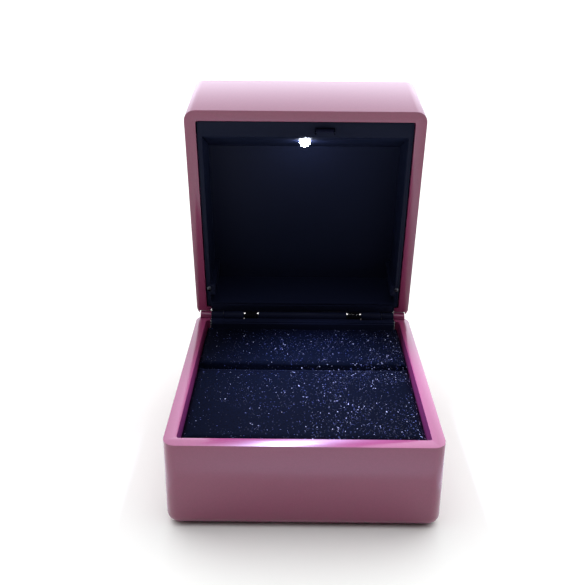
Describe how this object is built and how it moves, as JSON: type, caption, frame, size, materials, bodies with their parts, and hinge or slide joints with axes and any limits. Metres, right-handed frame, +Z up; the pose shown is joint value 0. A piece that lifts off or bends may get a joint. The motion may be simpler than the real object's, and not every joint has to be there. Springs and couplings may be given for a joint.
{
  "type": "jewelry box",
  "caption": "Square lacquered ring box with a sprung hinged lid, a light in the lid switched by closing it, and a two-piece padded ring cushion.",
  "frame": {"origin": "centre of the flat face of the underlay that the box rests on", "axes": "+Z up, +Y from the front towards the hinge, +X to the right seen from the front; the lid is open, as at rest"},
  "size_m": [0.065, 0.0924, 0.0933],
  "materials": {
    "rose_lacquer": "pearl rose lacquer under a clear coat",
    "black_plastic": "satin black moulding",
    "black_felt": "pressed felt",
    "grey_card": "stiff grey card",
    "navy_velvet": "glitter velvet",
    "spring_steel": "bright spring steel",
    "light_lens": "clear epoxy dome",
    "tinned_wire": "tinned",
    "board_green": "solder resist",
    "nickel_cell": "nickel plate",
    "chip_black": "matt ceramic",
    "switch_white": "matt moulding"
  },
  "bodies": {
    "base": {"base_shell": "rose_lacquer", "base_liner": "black_plastic", "base_underlay": "black_felt", "cushion_board": "grey_card", "front_cushion": "navy_velvet", "rear_cushion": "navy_velvet", "hinge_pin_left": "spring_steel", "hinge_pin_right": "spring_steel", "hinge_spring_left": "spring_steel", "hinge_spring_right": "spring_steel"},
    "lid": {"lid_shell": "rose_lacquer", "lid_liner": "black_plastic", "led_lens": "light_lens", "led_lead_anode": "tinned_wire", "led_lead_cathode": "tinned_wire", "circuit_board": "board_green", "coin_cell_left": "nickel_cell", "coin_cell_right": "nickel_cell", "battery_clip_left": "spring_steel", "battery_clip_right": "spring_steel", "resistor": "chip_black", "switch_body": "switch_white", "switch_terminal_left": "tinned_wire", "switch_terminal_right": "tinned_wire", "liner_screw_left": "spring_steel", "liner_screw_right": "spring_steel"},
    "plunger": {"switch_plunger": "black_plastic"}
  },
  "joints": [
    {"name": "lid_hinge", "type": "hinge", "parent": "base", "child": "lid", "pos_m": [0, 0.0335, 0.02295], "axis": [1, 0, 0], "range_deg": [0, 79.5], "stiffness_Nm_per_rad": 0.003, "springref_deg": -28.65},
    {"name": "switch_press", "type": "slide", "parent": "lid", "child": "plunger", "axis": [0, 0.9833, 0.1822], "range_m": [0, 0.0008], "stiffness_N_per_m": 60}
  ],
  "couplings": [
    {"joint": "switch_press", "follows": "lid_hinge", "m_per_rad": 0.000576}
  ]
}
